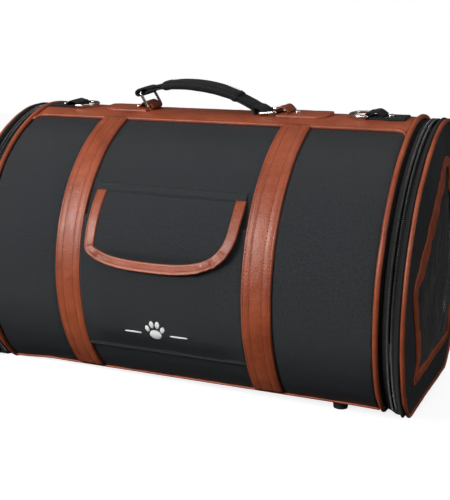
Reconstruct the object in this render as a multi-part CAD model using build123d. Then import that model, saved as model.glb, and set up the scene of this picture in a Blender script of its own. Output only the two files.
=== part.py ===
from build123d import *
from math import asin, atan2, cos, degrees, radians, sin, sqrt
import os

# All sizes in millimetres. X runs along the bag, -Y is the pocket side, +Z is up, and the floor is z = 0.
# Heights below are measured from the underside of the bag's body, and save() lifts them by the feet.

# Cross-section of the bag: tangent arcs, the same shape from end to end.
body_height = 270.0
half_width = 137.0
widest_height = 112.0
crown_radius = 100.0
lower_radius = 153.5
corner_radius = 21.0

# Stations along the length.
ring_x = 211.8
door_x = 235.3
door_drop = 2.4
coil_x = 224.0
piping_radius = 2.5
piping_offset = 2.0

# Where the bag sits in its frame, and how far the sewn strips lie from its middle.
foot_height = 12.0
middle_y = 2.5
sewn_x = -4.0
strip_y = -15.0

# Sheet thicknesses.
wall = 3.0
leather = 2.2
top_leather = 1.2
tape = 1.5
tape_sink = 0.9
coil_sink = 0.1
coil_gap = 0.3
coil_width = 2.1
hoop_inset = 5.0
hoop_radius = 1.5
hinge_strip_heights = (-3.6, -2.4)
side_seam_height = 4.0
seam_piping_radius = 1.6
arch_low = 6.0

# Leather straps, top strip and pocket.
strap_spacing = 206.0
strap_width = 30.0
top_strip_half = 32.6
pocket_low = 36.0
pocket_high = 166.0
pocket_gap = 3.0
pocket_wall = 1.4

# Pocket flap.
flap_half = 82.0
flap_low = 118.0
flap_high = 190.0
flap_corner = 26.0
flap_border = 11.0
flap_thickness = 1.8
border_extra = 0.5
flap_stand_offs = ((flap_high, 1.0), (158.0, 6.0), (flap_low, 7.4))
patch_half = 25.0
patch_thickness = 1.0
loop_patch_heights = (124.0, 140.0)
hook_patch_heights = (130.0, 141.0)

# Window in each end.
window_points = [(-84, 27), (84, 27), (113, 124), (12, 235), (-12, 235), (-113, 124)]
window_corners = [10, 10, 24, 14, 14, 24]
binding_width = 11.0
binding_thickness = 1.6
panel_thickness = 1.6
mesh_thickness = 0.8

# Top hardware.
loop_half_spacing = 73.25
loop_height = 274.5
loop_hole = 1.9
loop_skin = 1.7
wire_radius = 1.5
tab_length = 56.0
tab_half_width = 17.0
tab_thickness = 2.2
handle_rivet_half = 92.5
ring_length = 18.4
ring_half_width = 14.5
left_ring_angle = 119.4
right_ring_angle = 184.5
d_loop_half_spacing = 168.0
d_loop_height = 273.6
d_ring_depth = 20.0
d_ring_half_width = 14.0
d_tab_outer = 203.0
d_tab_half_width = 12.5
webbing = 1.6
d_rivet_half = 188.5
rivet_radius = 3.6
rivet_height = 1.5

# Handle, measured along and above the chord between its two ring bars.
grip_half_width = 13.0
grip_thickness = 9.0
strap_thickness = 3.2
grip_ends = (24.0, 112.0)
handle_rise = 15.0
handle_strap_half = 11.0
handle_strap_start = 3.0
handle_loop_skin = 1.8
open_pivot_gap = 7.0

# Feet, board and pad.
foot_x = 164.0
foot_y = 66.0
foot_top_radius = 8.8
foot_low_radius = 7.0
screw_head_radius = 3.2
screw_head_height = 2.4
screw_radius = 1.6
screw_recess = 1.0
board_half = (204.0, 76.0)
board_thickness = 2.5
pad_half = (203.0, 84.0)
pad_thickness = 18.0

# Zipper sliders and pulls.
slider_height = 45.0
slider_size = (9.0, 11.0)
slider_thickness = 2.6
slider_gap = 0.3
eye_height = 1.6
pin_radius = 0.8
pull_length = 26.0
pull_width = 6.0
pull_thickness = 1.4

# Shape of the section that follows from the driving sizes.
rise = body_height - widest_height
upper_radius = (2 * crown_radius * rise - half_width ** 2 - rise ** 2) / (2 * (crown_radius - half_width))
crown_centre = (0.0, body_height - crown_radius)
upper_centre = (half_width - upper_radius, widest_height)
lower_centre = (half_width - lower_radius, widest_height)
corner_drop = widest_height - corner_radius
corner_centre = (
    lower_centre[0] + sqrt((lower_radius - corner_radius) ** 2 - corner_drop ** 2),
    corner_radius,
)
upper_angle = degrees(atan2(crown_centre[1] - upper_centre[1], crown_centre[0] - upper_centre[0]))
lower_angle = degrees(atan2(corner_centre[1] - lower_centre[1], corner_centre[0] - lower_centre[0]))
corner_top = corner_radius * (1 + sin(radians(lower_angle)))


def polar(centre, radius, angle, side=1):
    """A point on a circle in the section, mirrored to the front when side is -1."""
    return (side * (centre[0] + radius * cos(radians(angle))), centre[1] + radius * sin(radians(angle)))


def section_arc(centre, radius, start, end, side):
    """One arc of the section, from angle start to angle end."""
    middle = (start + end) / 2
    return ThreePointArc(
        polar(centre, radius, start, side),
        polar(centre, radius, middle, side),
        polar(centre, radius, end, side),
    )


def outline_edges(grow, drop=0.0):
    """The edges of the bag's section, grown outward by grow and lowered by drop."""
    edges = [Line((-corner_centre[0], -grow), (corner_centre[0], -grow))]
    for side in (1, -1):
        edges.append(section_arc(corner_centre, corner_radius + grow, -90, lower_angle, side))
        edges.append(section_arc(lower_centre, lower_radius + grow, lower_angle, 0, side))
        edges.append(section_arc(upper_centre, upper_radius + grow, 0, upper_angle, side))
    edges.append(section_arc(crown_centre, crown_radius + grow, upper_angle, 180 - upper_angle, 1))
    return [Pos(0, -drop) * edge for edge in edges]


def outline(grow, drop=0.0):
    """The bag's section as a face in the YZ plane."""
    return Plane.YZ * make_face(outline_edges(grow, drop))


def between(face, x_low, x_high):
    """A YZ face drawn out from x_low to x_high."""
    return Pos(x_low, 0, 0) * extrude(face, amount=x_high - x_low, dir=(1, 0, 0))


def sleeve(inner, outer, x_low, x_high, drop=0.0):
    """A length of the bag's wall between two offsets of its section."""
    return between(outline(outer, drop) - outline(inner, drop), x_low, x_high)


def block(x_low, x_high, y_low, y_high, z_low, z_high):
    """A box between two corners."""
    size = (x_high - x_low, y_high - y_low, z_high - z_low)
    return Pos((x_low + x_high) / 2, (y_low + y_high) / 2, (z_low + z_high) / 2) * Box(*size)


def side_y(height, grow=0.0):
    """Half-width of the section, grown outward by grow, at a height below its crown."""
    if height < corner_top:
        centre = corner_centre
        radius = corner_radius + grow
    elif height > widest_height:
        centre = upper_centre
        radius = upper_radius + grow
    else:
        centre = lower_centre
        radius = lower_radius + grow
    return centre[0] + sqrt(radius ** 2 - (height - centre[1]) ** 2)


def crown_z(y, grow=0.0):
    """Height of the crown, grown outward by grow, at a distance y from the middle."""
    return crown_centre[1] + sqrt((crown_radius + grow) ** 2 - y ** 2)


def rod(start, end, radius):
    """A round bar from start to end."""
    path = Line(start, end)
    profile = Plane(origin=start, z_dir=path % 0) * Circle(radius)
    return sweep(profile, path=path)


def section_ring(x, offset, radius, drop=0.0):
    """A round cord that follows the whole section at station x."""
    path = Plane.YZ.offset(x) * Wire(outline_edges(offset, drop))
    start = path @ 0
    profile = Plane(origin=start, z_dir=path % 0) * Circle(radius)
    return sweep(profile, path=path)


def strap_edges(side):
    """The two X limits of the leather straps on one side."""
    centre = sewn_x + side * strap_spacing / 2
    return centre - strap_width / 2, centre + strap_width / 2


def whole_length():
    """X limits of the body between its two end pipings."""
    return -(ring_x - piping_radius), ring_x - piping_radius


def front_region(low, high=400.0):
    """Everything in front of the top strip, between two heights."""
    return block(-400, 400, -400, strip_y - top_strip_half, low, high)


def back_region(low, high=400.0):
    """Everything behind the top strip, between two heights."""
    return block(-400, 400, strip_y + top_strip_half, 400, low, high)


def body_panels():
    """The fabric shell: front, back, bottom and the leather strip along the top."""
    x_low, x_high = whole_length()
    shell = sleeve(-wall, 0, x_low, x_high)
    below = block(-400, 400, -400, 400, -50, side_seam_height)
    strip_region = block(-400, 400, strip_y - top_strip_half, strip_y + top_strip_half, widest_height, 400)
    holes = screw_shapes(screw_radius, 0.0)
    return {
        "front_panel": shell & front_region(side_seam_height),
        "back_panel": shell & back_region(side_seam_height),
        "bottom_panel": (shell & below) - holes,
        "top_panel": sleeve(-wall, top_leather, x_low, x_high) & strip_region,
    }


def straps():
    """Four leather straps sewn round the barrel, two at the front and two at the back."""
    pieces = {}
    low = side_seam_height + 2.4
    for side, name in ((-1, "left"), (1, "right")):
        band = sleeve(0, leather, *strap_edges(side))
        pieces["strap_front_" + name] = band & front_region(low)
        pieces["strap_back_" + name] = band & back_region(low)
    return pieces


def pocket():
    """The flat pocket between the front straps, open along its top edge, and its closure patch."""
    x_low = strap_edges(-1)[1]
    x_high = strap_edges(1)[0]
    outer = pocket_gap + pocket_wall
    solid = sleeve(0, outer, x_low, x_high)
    hollow = sleeve(0, pocket_gap, x_low + pocket_wall, x_high - pocket_wall)
    inside = block(-400, 400, -400, 0, pocket_low + pocket_wall, 400)
    piece = (solid - (hollow & inside)) & block(-400, 400, -400, 0, pocket_low, pocket_high)
    patch = sleeve(outer, outer + patch_thickness, sewn_x - patch_half, sewn_x + patch_half)
    return {"pocket_front": piece, "loop_patch": patch & block(-400, 400, -400, 0, *loop_patch_heights)}


def flap_layer(inner, outer):
    """A curved sheet that leaves the body at the flap's seam and stands off towards its lower edge."""
    points = []
    for offset in (inner, outer):
        line = []
        for height, stand_off in flap_stand_offs:
            line.append((-side_y(height, offset + stand_off), height))
        points.append(line)
    edges = [
        ThreePointArc(*points[0]),
        ThreePointArc(*points[1]),
        Line(points[0][0], points[1][0]),
        Line(points[0][2], points[1][2]),
    ]
    return between(Plane.YZ * make_face(edges), sewn_x - 200, sewn_x + 200)


def flap_outline(inset):
    """The flap's front outline, drawn through the whole depth of the bag."""
    half = flap_half - inset
    low = flap_low + inset
    corner = flap_corner - inset
    edges = [
        Line((-half, flap_high), (half, flap_high)),
        Line((half, flap_high), (half, low + corner)),
        ThreePointArc(
            (half, low + corner),
            (half - corner * (1 - cos(radians(45))), low + corner * (1 - sin(radians(45)))),
            (half - corner, low),
        ),
        Line((half - corner, low), (-half + corner, low)),
        ThreePointArc(
            (-half + corner, low),
            (-half + corner * (1 - cos(radians(45))), low + corner * (1 - sin(radians(45)))),
            (-half, low + corner),
        ),
        Line((-half, low + corner), (-half, flap_high)),
    ]
    face = Plane.XZ * make_face(edges)
    return Pos(sewn_x, 0, 0) * extrude(face, amount=300, dir=(0, -1, 0))


def flap():
    """The pocket's flap, its leather border and the hook patch behind it."""
    core = flap_layer(0, flap_thickness) & flap_outline(flap_border)
    edge_shape = flap_outline(0) - flap_outline(flap_border)
    border = flap_layer(-border_extra, flap_thickness + border_extra) & edge_shape
    patch_x = (sewn_x - patch_half, sewn_x + patch_half)
    patch = flap_layer(-patch_thickness, 0) & block(*patch_x, -400, 0, *hook_patch_heights)
    return {"pocket_flap": core, "flap_border": border, "hook_patch": patch}


def bottom_pipings():
    """Thin leather pipings along the two lower seams."""
    x_low, x_high = whole_length()
    seam_y = side_y(side_seam_height, seam_piping_radius + 0.1)
    pieces = {}
    for side, name in ((-1, "front"), (1, "back")):
        y = side * seam_y
        start = (x_low, y, side_seam_height)
        end = (x_high, y, side_seam_height)
        pieces["bottom_piping_" + name] = rod(start, end, seam_piping_radius)
    return pieces


def end_rings(side, name):
    """What closes one end of the body: piping, wire hoop, zipper tape, coil and hinge strip."""
    arch = block(-400, 400, -400, 400, arch_low, 400)
    ring_face = ring_x + piping_radius
    coil_edge = coil_x - coil_gap - coil_width
    pieces = {
        "body_piping_" + name: section_ring(side * ring_x, piping_offset, piping_radius),
        "wire_hoop_" + name: section_ring(
            side * (ring_x - hoop_inset), -wall - hoop_radius - 0.1, hoop_radius),
    }
    tape_x = sorted((side * ring_face, side * coil_edge))
    coil_range = sorted((side * coil_edge, side * (coil_x - coil_gap)))
    pieces["zipper_tape_" + name] = sleeve(-tape_sink - tape, -tape_sink, *tape_x) & arch
    pieces["zipper_coil_" + name] = sleeve(-coil_sink - coil_width, -coil_sink, *coil_range) & arch
    strip_x = sorted((side * ring_face, side * (door_x - piping_radius - 0.3)))
    pieces["hinge_strip_" + name] = block(
        *strip_x, -corner_centre[0], corner_centre[0], *hinge_strip_heights)
    return pieces


def window_face(inset):
    """The window's outline in the YZ plane, pulled in by inset."""
    outline_shape = FilletPolyline(*window_points, radius=window_corners, close=True)
    face = make_face(outline_shape)
    if inset:
        face = offset(face, amount=-inset, kind=Kind.INTERSECTION)
    return Plane.YZ * face


def door(side, name):
    """One end of the bag: a fabric panel with a mesh window, piping, zipper tape and coil."""
    arch = block(-400, 400, -400, 400, arch_low, 400)
    panel_inner = door_x - panel_thickness / 2
    panel_outer = door_x + panel_thickness / 2
    panel_x = sorted((side * panel_inner, side * panel_outer))
    binding_x = sorted((side * panel_outer, side * (panel_outer + binding_thickness)))
    mesh_x = sorted((side * (door_x - mesh_thickness / 2), side * (door_x + mesh_thickness / 2)))
    hole = window_face(binding_width / 2)
    panel_face = outline(piping_offset - piping_radius, door_drop) - hole
    coil_edge = coil_x + coil_gap + coil_width
    tape_x = sorted((side * coil_edge, side * panel_inner))
    coil_range = sorted((side * (coil_x + coil_gap), side * coil_edge))
    return {
        "door_panel_" + name: between(panel_face, *panel_x),
        "window_mesh_" + name: between(hole, *mesh_x),
        "window_binding_" + name: between(window_face(0) - window_face(binding_width), *binding_x),
        "door_piping_" + name: section_ring(side * door_x, piping_offset, piping_radius, door_drop),
        "door_tape_" + name: sleeve(-tape_sink - tape, -tape_sink, *tape_x, door_drop) & arch,
        "door_coil_" + name: sleeve(-coil_sink - coil_width, -coil_sink, *coil_range) & arch,
    }


def slider_parts(side, name):
    """A zipper slider low on the back of the arch, with its pull hanging from it."""
    angle = asin((slider_height - widest_height) / lower_radius)
    x = side * coil_x
    width, length = slider_size
    place = Location((x, lower_centre[0], lower_centre[1])) * Rot(degrees(angle), 0, 0)
    inner = lower_radius + slider_gap
    plate = Pos(0, inner + slider_thickness / 2, 0) * Box(width, slider_thickness, length)
    plate = fillet(plate.edges().filter_by(Axis.Y), 1.5)
    eye_y = inner + slider_thickness + eye_height
    post = Pos(0, inner + slider_thickness + 1.4, 0) * Box(2.2, 2.8, 6.0)
    eye_hole = Pos(0, eye_y, 0) * Rot(0, 90, 0) * Cylinder(pin_radius + 0.2, 10)
    slider = place * (plate + (post - eye_hole))
    eye = place * Pos(0, eye_y, 0)
    centre = eye.position
    pin = Pos(centre) * Rot(0, 90, 0) * Cylinder(pin_radius, pull_width)
    cheeks = Pos(centre) * Pos(0, 0, -2.2) * Box(pull_width, pull_thickness, 6.0)
    gap = Pos(centre) * Pos(0, 0, -1.4) * Box(2.8, 4, 7.6)
    tongue_low = centre.Z - pull_length
    tongue = block(
        centre.X - pull_width / 2, centre.X + pull_width / 2,
        centre.Y - pull_thickness / 2, centre.Y + pull_thickness / 2,
        tongue_low, centre.Z - 5.2,
    )
    tongue = fillet(tongue.edges().filter_by(Axis.Y).group_by(Axis.Z)[0], 2.5)
    pull = pin + (cheeks - gap) + tongue
    return {"slider_" + name: slider, "pull_" + name: pull}, centre


def loop_tube(x, height, half_length, skin):
    """A sewn loop round a ring's bar, lying across the bag."""
    start = (x, -half_length, height)
    end = (x, half_length, height)
    return rod(start, end, loop_hole + skin) - rod(start, end, loop_hole)


def top_tab(x_loop, x_end, height, half_width_y, thickness, skin):
    """A strip sewn on the top, with a loop at its inner end."""
    x_low, x_high = sorted((x_loop, x_end))
    strip = sleeve(top_leather, top_leather + thickness, x_low, x_high)
    strip = strip & block(-400, 400, -half_width_y, half_width_y, widest_height, 400)
    half_loop = ring_half_width - 3.0
    bar_hole = rod((x_loop, -200, height), (x_loop, 200, height), loop_hole)
    body = strip + loop_tube(x_loop, height, half_loop, skin)
    room = block(x_loop - 6, x_loop + 6, -400, 400, widest_height, 400)
    beside = room - block(-400, 400, -half_loop, half_loop, 0, 400)
    return body - between(outline(top_leather), x_low - 20, x_high + 20) - bar_hole - beside


def lean(shape):
    """Turns what was built along the top of the crown forward, to where the strip is sewn."""
    angle = degrees(asin(-strip_y / crown_radius))
    return Pos(0, *crown_centre) * Rot(angle, 0, 0) * Pos(0, -crown_centre[0], -crown_centre[1]) * shape


def rivet(x, base_z):
    """A domed oval rivet head on a tab."""
    head = Pos(x, 0, base_z) * Cylinder(rivet_radius, 2 * rivet_height)
    head = fillet(head.edges().group_by(Axis.Z)[-1], 1.0)
    shank_low = crown_z(0) - wall - 0.6
    shank = Pos(x, 0, (shank_low + base_z) / 2) * Cylinder(1.5, base_z - shank_low)
    return head + shank


def flat_ring():
    """The rectangular handle ring, flat, hanging from its bar at the origin towards +X."""
    path = FilletPolyline(
        (0, -ring_half_width), (0, ring_half_width),
        (ring_length, ring_half_width), (ring_length, -ring_half_width),
        radius=3.0, close=True,
    )
    profile = Plane(origin=path @ 0, z_dir=path % 0) * Circle(wire_radius)
    return sweep(profile, path=path)


def flat_d_ring():
    """The D-ring, flat, with its straight bar at the origin and its bow towards +X."""
    half = d_ring_half_width
    corner = 2.5
    knee = d_ring_depth - half
    bend = corner * (1 - cos(radians(45)))
    path = Wire([
        Line((0, -half + corner), (0, half - corner)),
        ThreePointArc((0, half - corner), (bend, half - bend), (corner, half)),
        Line((corner, half), (knee, half)),
        ThreePointArc((knee, half), (d_ring_depth, 0), (knee, -half)),
        Line((knee, -half), (corner, -half)),
        ThreePointArc((corner, -half), (bend, -half + bend), (0, -half + corner)),
    ])
    profile = Plane(origin=path @ 0, z_dir=path % 0) * Circle(wire_radius)
    return sweep(profile, path=path)


def ring_tip(pivot_x, angle):
    """Centre of a handle ring's far bar."""
    return (
        pivot_x + ring_length * cos(radians(angle)),
        loop_height + ring_length * sin(radians(angle)),
    )


def top_hardware():
    """Leather handle tabs, webbing D-ring tabs, their rings and their rivets."""
    pieces = {}
    rivets = {"handle_rivets": [], "d_ring_rivets": []}
    for side, name in ((-1, "left"), (1, "right")):
        loop_x = sewn_x + side * loop_half_spacing
        tab_end = loop_x + side * tab_length
        tab = top_tab(loop_x, tab_end, loop_height, tab_half_width, tab_thickness, loop_skin)
        handle_rivet_z = crown_z(0, top_leather + tab_thickness) + 0.2
        handle_rivet = rivet(sewn_x + side * handle_rivet_half, handle_rivet_z)
        d_loop_x = sewn_x + side * d_loop_half_spacing
        d_tab = top_tab(
            d_loop_x, sewn_x + side * d_tab_outer, d_loop_height, d_tab_half_width, webbing, loop_skin - 0.2)
        d_rivet = rivet(sewn_x + side * d_rivet_half, crown_z(0, top_leather + webbing) + 0.2)
        pieces["handle_tab_" + name] = tab - handle_rivet
        pieces["d_ring_tab_" + name] = d_tab - d_rivet
        rivets["handle_rivets"].append(handle_rivet)
        rivets["d_ring_rivets"].append(d_rivet)
        angle = left_ring_angle if side < 0 else right_ring_angle
        pieces["handle_ring_" + name] = Pos(loop_x, 0, loop_height) * Rot(0, -angle, 0) * flat_ring()
        d_angle = 0 if side < 0 else 180
        pieces["d_ring_" + name] = Pos(d_loop_x, 0, d_loop_height) * Rot(0, -d_angle, 0) * flat_d_ring()
    for node, solids in rivets.items():
        pieces[node] = Compound(children=solids)
    return {node: lean(shape) for node, shape in pieces.items()}


def handle():
    """The padded grip and the webbing that runs through it from ring to ring."""
    left = ring_tip(sewn_x - loop_half_spacing, left_ring_angle)
    right = ring_tip(sewn_x + loop_half_spacing, right_ring_angle)
    chord = sqrt((right[0] - left[0]) ** 2 + (right[1] - left[1]) ** 2)
    tilt = degrees(atan2(right[1] - left[1], right[0] - left[0]))
    bend = (chord ** 2 / 4 + handle_rise ** 2) / (2 * handle_rise)
    centre = (chord / 2, handle_rise - bend)

    def arc_band(low, high, along_low, along_high):
        """A band of the handle's arc between two heights and two distances along its chord."""
        face = Circle(bend + high) - Circle(bend + low)
        face = Pos(*centre) * face
        keep = Pos((along_low + along_high) / 2, 100) * Rectangle(along_high - along_low, 400)
        return Plane.XZ * (face & keep)

    def cross(face, half):
        """A face of the handle's side view drawn out to its width."""
        solid = extrude(face, amount=half, both=True)
        return Pos(left[0], 0, left[1]) * Rot(0, -tilt, 0) * solid

    half_strap = strap_thickness / 2
    strap = arc_band(-half_strap, half_strap, handle_strap_start, chord - open_pivot_gap)
    strap = cross(strap, handle_strap_half)
    loop_start = (left[0], -handle_strap_half, left[1])
    loop_end = (left[0], handle_strap_half, left[1])
    strap = strap + rod(loop_start, loop_end, loop_hole + handle_loop_skin)
    strap = strap - rod(loop_start, loop_end, loop_hole)
    half_grip = grip_thickness / 2
    grip = cross(arc_band(-half_grip, half_grip, *grip_ends), grip_half_width)
    grip = fillet(grip.edges().filter_by(GeomType.CIRCLE), half_grip * 0.75)
    return {"handle_grip": lean(grip - strap), "handle_webbing": lean(strap)}


def screw_shapes(radius, head_radius):
    """The four foot screws, or their holes when head_radius is zero."""
    screws = []
    top = wall + board_thickness
    for x in (-foot_x, foot_x):
        for y in (-foot_y, foot_y):
            start = (x, y, screw_recess - foot_height)
            shank = rod(start, (x, y, top), radius)
            if head_radius:
                shank = shank + rod(start, (x, y, start[2] + screw_head_height), head_radius)
            screws.append(shank)
    return Compound(children=screws)


def base():
    """Feet, their screws, the stiff board and the pad that lies on it."""
    screws = screw_shapes(screw_radius, screw_head_radius)
    feet = []
    for x in (-foot_x, foot_x):
        for y in (-foot_y, foot_y):
            cone = Pos(x, y, -foot_height / 2) * Cone(foot_low_radius, foot_top_radius, foot_height)
            well_top = screw_recess + screw_head_height - foot_height
            well = rod((x, y, -foot_height), (x, y, well_top), screw_head_radius)
            hole = rod((x, y, -foot_height), (x, y, 0), screw_radius)
            feet.append(cone - well - hole)
    board_low = wall
    board = block(-board_half[0], board_half[0], -board_half[1], board_half[1], board_low,
                  board_low + board_thickness)
    board = fillet(board.edges().filter_by(Axis.Z), 12.0)
    pad_low = board_low + board_thickness
    pad = block(-pad_half[0], pad_half[0], -pad_half[1], pad_half[1], pad_low, pad_low + pad_thickness)
    pad = fillet(pad.edges().filter_by(Axis.Z), 14.0)
    pad = fillet(pad.edges().group_by(Axis.Z)[-1], 5.0)
    return {
        "feet": Compound(children=feet),
        "foot_screws": screws,
        "base_board": board - screw_shapes(screw_radius, 0.0),
        "comfort_pad": pad,
    }


def save(node, shape):
    """Lift the piece onto its feet, move it into the bag's frame and write it."""
    placed = Pos(0, middle_y, foot_height) * shape
    export_step(placed, "parts/" + node + ".step")


def main():
    os.makedirs("parts", exist_ok=True)
    pieces = {}
    pieces.update(body_panels())
    pieces.update(straps())
    pieces.update(pocket())
    pieces.update(flap())
    pieces.update(bottom_pipings())
    for side, name in ((-1, "left"), (1, "right")):
        pieces.update(end_rings(side, name))
        pieces.update(door(side, name))
        zipper, eye = slider_parts(side, name)
        pieces.update(zipper)
        print("pull pivot", name, [round(v, 3) for v in (eye.X, eye.Y + middle_y, eye.Z + foot_height)])
    pieces.update(top_hardware())
    for node in ("handle_rivets", "d_ring_rivets"):
        pieces["top_panel"] = pieces["top_panel"] - pieces[node]
    pieces.update(handle())
    pieces.update(base())
    for node, shape in pieces.items():
        save(node, shape)
    print("nodes", len(pieces))


main()
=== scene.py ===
import bpy
from math import asin, atan2, ceil, cos, hypot, pi, radians, sin, sqrt, tan
from mathutils import Matrix, Vector, noise


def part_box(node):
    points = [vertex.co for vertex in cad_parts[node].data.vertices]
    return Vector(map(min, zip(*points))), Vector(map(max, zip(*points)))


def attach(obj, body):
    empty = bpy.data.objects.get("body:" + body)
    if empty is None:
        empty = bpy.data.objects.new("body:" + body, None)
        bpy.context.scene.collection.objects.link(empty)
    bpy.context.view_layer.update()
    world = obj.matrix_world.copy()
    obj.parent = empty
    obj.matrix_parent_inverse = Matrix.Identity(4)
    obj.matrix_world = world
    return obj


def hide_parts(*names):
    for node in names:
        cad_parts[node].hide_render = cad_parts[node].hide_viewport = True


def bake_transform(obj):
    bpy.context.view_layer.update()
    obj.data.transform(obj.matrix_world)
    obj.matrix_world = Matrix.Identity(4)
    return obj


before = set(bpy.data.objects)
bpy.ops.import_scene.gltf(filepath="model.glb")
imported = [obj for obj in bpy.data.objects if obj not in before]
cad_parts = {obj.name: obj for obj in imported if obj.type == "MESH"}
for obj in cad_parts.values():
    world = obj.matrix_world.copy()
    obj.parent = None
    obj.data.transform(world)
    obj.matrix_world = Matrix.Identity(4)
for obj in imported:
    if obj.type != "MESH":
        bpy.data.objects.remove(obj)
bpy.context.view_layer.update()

# Sizes are in millimetres in the body's own frame, which place() turns into the row frame in metres.
middle_y = 2.5
foot_height = 12.0

body_height = 270.0
half_width = 137.0
widest_height = 112.0
crown_radius = 100.0
lower_radius = 153.5
corner_radius = 21.0
ring_x = 211.8
door_x = 235.3
coil_x = 224.0
door_drop = 2.4
wall = 3.0
panel_end = 209.3
side_seam_height = 4.0
arch_low = 6.0

sewn_x = -4.0
strip_y = -15.0
strip_half = 32.6
strap_half_spacing = 103.0
strap_half = 15.0
strap_thickness = 2.4
left_slump = 7.6
end_slump = 4.0
slump_start = 185.0
slump_reach = 330.0
floor_clearance = 0.3

pocket_low = 36.0
pocket_high = 166.0
flap_high = 190.0
flap_low = 118.6
flap_border = 10.6
flap_shift = 1.8

loop_half_spacing = 73.25
loop_height = 274.5
tab_length = 56.0
tab_half_width = 17.0
ring_length = 18.4
left_ring_angle = 119.4
right_ring_angle = 184.5
d_loop_half_spacing = 168.0
d_loop_height = 273.6
handle_rise = 15.0
grip_ends = (24.0, 112.0)


# ---------------------------------------------------------------- the bag's section

rise = body_height - widest_height
upper_radius = (2 * crown_radius * rise - half_width ** 2 - rise ** 2) / (2 * (crown_radius - half_width))
upper_y = half_width - upper_radius
lower_y = half_width - lower_radius
corner_y = lower_y + sqrt((lower_radius - corner_radius) ** 2 - (widest_height - corner_radius) ** 2)
upper_angle = atan2(body_height - crown_radius - widest_height, -upper_y)
lower_angle = atan2(corner_radius - widest_height, corner_y - lower_y)
arcs = [
    (corner_y, corner_radius, corner_radius, -pi / 2, lower_angle),
    (lower_y, widest_height, lower_radius, lower_angle, 0.0),
    (upper_y, widest_height, upper_radius, 0.0, upper_angle),
    (0.0, body_height - crown_radius, crown_radius, upper_angle, pi / 2),
]
half_around = corner_y + sum(radius * (end - start) for _, _, radius, start, end in arcs)
around = 2 * half_around


def section(s):
    """A point of the section and its outward normal, s along it from the bottom's middle, front first."""
    s = s % around
    side = -1
    if s > half_around:
        s = around - s
        side = 1
    if s < corner_y:
        return side * s, 0.0, 0.0, -1.0
    s -= corner_y
    for y, z, radius, start, end in arcs:
        length = radius * (end - start)
        if s <= length or y == 0.0:
            angle = start + s / radius
            return side * (y + radius * cos(angle)), z + radius * sin(angle), side * cos(angle), sin(angle)
        s -= length


def front_at_height(height):
    """Distance along the section to a height on the front side."""
    low = corner_y
    high = half_around
    for _ in range(40):
        middle = (low + high) / 2
        if section(middle)[1] < height:
            low = middle
        else:
            high = middle
    return low


def top_at(y):
    """Distance along the section to a point of the top, y from its middle."""
    return half_around + crown_radius * asin(y / crown_radius)


def place(point):
    """A point of the body's frame, in millimetres, as metres in the row frame, on the slumped bag."""
    x, y, z = point
    slump = left_slump * min(max((slump_start - x) / slump_reach, 0.0), 1.0)
    slump += end_slump * fade(-x, 150, 215)
    slump *= (1 - fade(z, 10, 170)) * (1 - fade(y, 10, 80))
    return (x / 1000, (y + middle_y) / 1000, max(z - slump + foot_height, floor_clearance) / 1000)


def on_section(x, s, offset, drop=0.0):
    """A point at station x that stands off from the section."""
    y, z, normal_y, normal_z = section(s)
    return (x, y + normal_y * offset, z + normal_z * offset - drop)


def wobble(a, b, scale, seed=0.0):
    """Smooth, repeatable unevenness between about -1 and 1."""
    return noise.noise(Vector((a / scale + seed, b / scale - seed, seed * 0.37 + 0.5)))


def fade(value, start, end):
    """0 at start and 1 at end, with soft ends."""
    t = min(max((value - start) / (end - start), 0.0), 1.0)
    return t * t * (3 - 2 * t)


def spread(low, high, step):
    """Evenly spaced values from low to high, about step apart."""
    count = max(1, ceil(abs(high - low) / step))
    return [low + (high - low) * i / count for i in range(count + 1)]


# ---------------------------------------------------------------- materials

def new_material(name, roughness, **sockets):
    """A principled material; the sockets hold constants."""
    material = bpy.data.materials.new(name)
    material.use_nodes = True
    shader = material.node_tree.nodes["Principled BSDF"]
    shader.inputs["Roughness"].default_value = roughness
    for socket, value in sockets.items():
        shader.inputs[socket.replace("_", " ")].default_value = value
    return material, material.node_tree, shader


def node(tree, kind, **inputs):
    """Add a node and set its inputs: a plain value is set and a socket is linked."""
    added = tree.nodes.new(kind)
    for name, value in inputs.items():
        socket = added.inputs[name.replace("_", " ")]
        if isinstance(value, bpy.types.NodeSocket):
            tree.links.new(value, socket)
        else:
            socket.default_value = value
    return added


def coordinates(tree, use_uv):
    """Where a texture is read: on the unrolled cloth, or in the object's own space."""
    return node(tree, "ShaderNodeTexCoord").outputs["UV" if use_uv else "Object"]


def speckle(tree, vector, scale, detail=2.0, roughness=0.5):
    """Noise between 0 and 1."""
    return node(
        tree, "ShaderNodeTexNoise", Vector=vector, Scale=scale, Detail=detail, Roughness=roughness,
    ).outputs["Fac"]


def blend_colours(tree, factor, first, second):
    """A colour between two, by a factor."""
    mix = tree.nodes.new("ShaderNodeMix")
    mix.data_type = "RGBA"
    tree.links.new(factor, mix.inputs[0])
    mix.inputs[6].default_value = (*first, 1)
    mix.inputs[7].default_value = (*second, 1)
    return mix.outputs[2]


def add_values(tree, first, second, weight):
    """first plus weight times second."""
    scaled = node(tree, "ShaderNodeMath")
    scaled.operation = "MULTIPLY_ADD"
    tree.links.new(second, scaled.inputs[0])
    scaled.inputs[1].default_value = weight
    tree.links.new(first, scaled.inputs[2])
    return scaled.outputs[0]


def remap(tree, value, low, high, new_low, new_high):
    """value stretched from one range to another."""
    stretched = tree.nodes.new("ShaderNodeMapRange")
    tree.links.new(value, stretched.inputs["Value"])
    stretched.inputs["From Min"].default_value = low
    stretched.inputs["From Max"].default_value = high
    stretched.inputs["To Min"].default_value = new_low
    stretched.inputs["To Max"].default_value = new_high
    return stretched.outputs["Result"]


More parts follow.
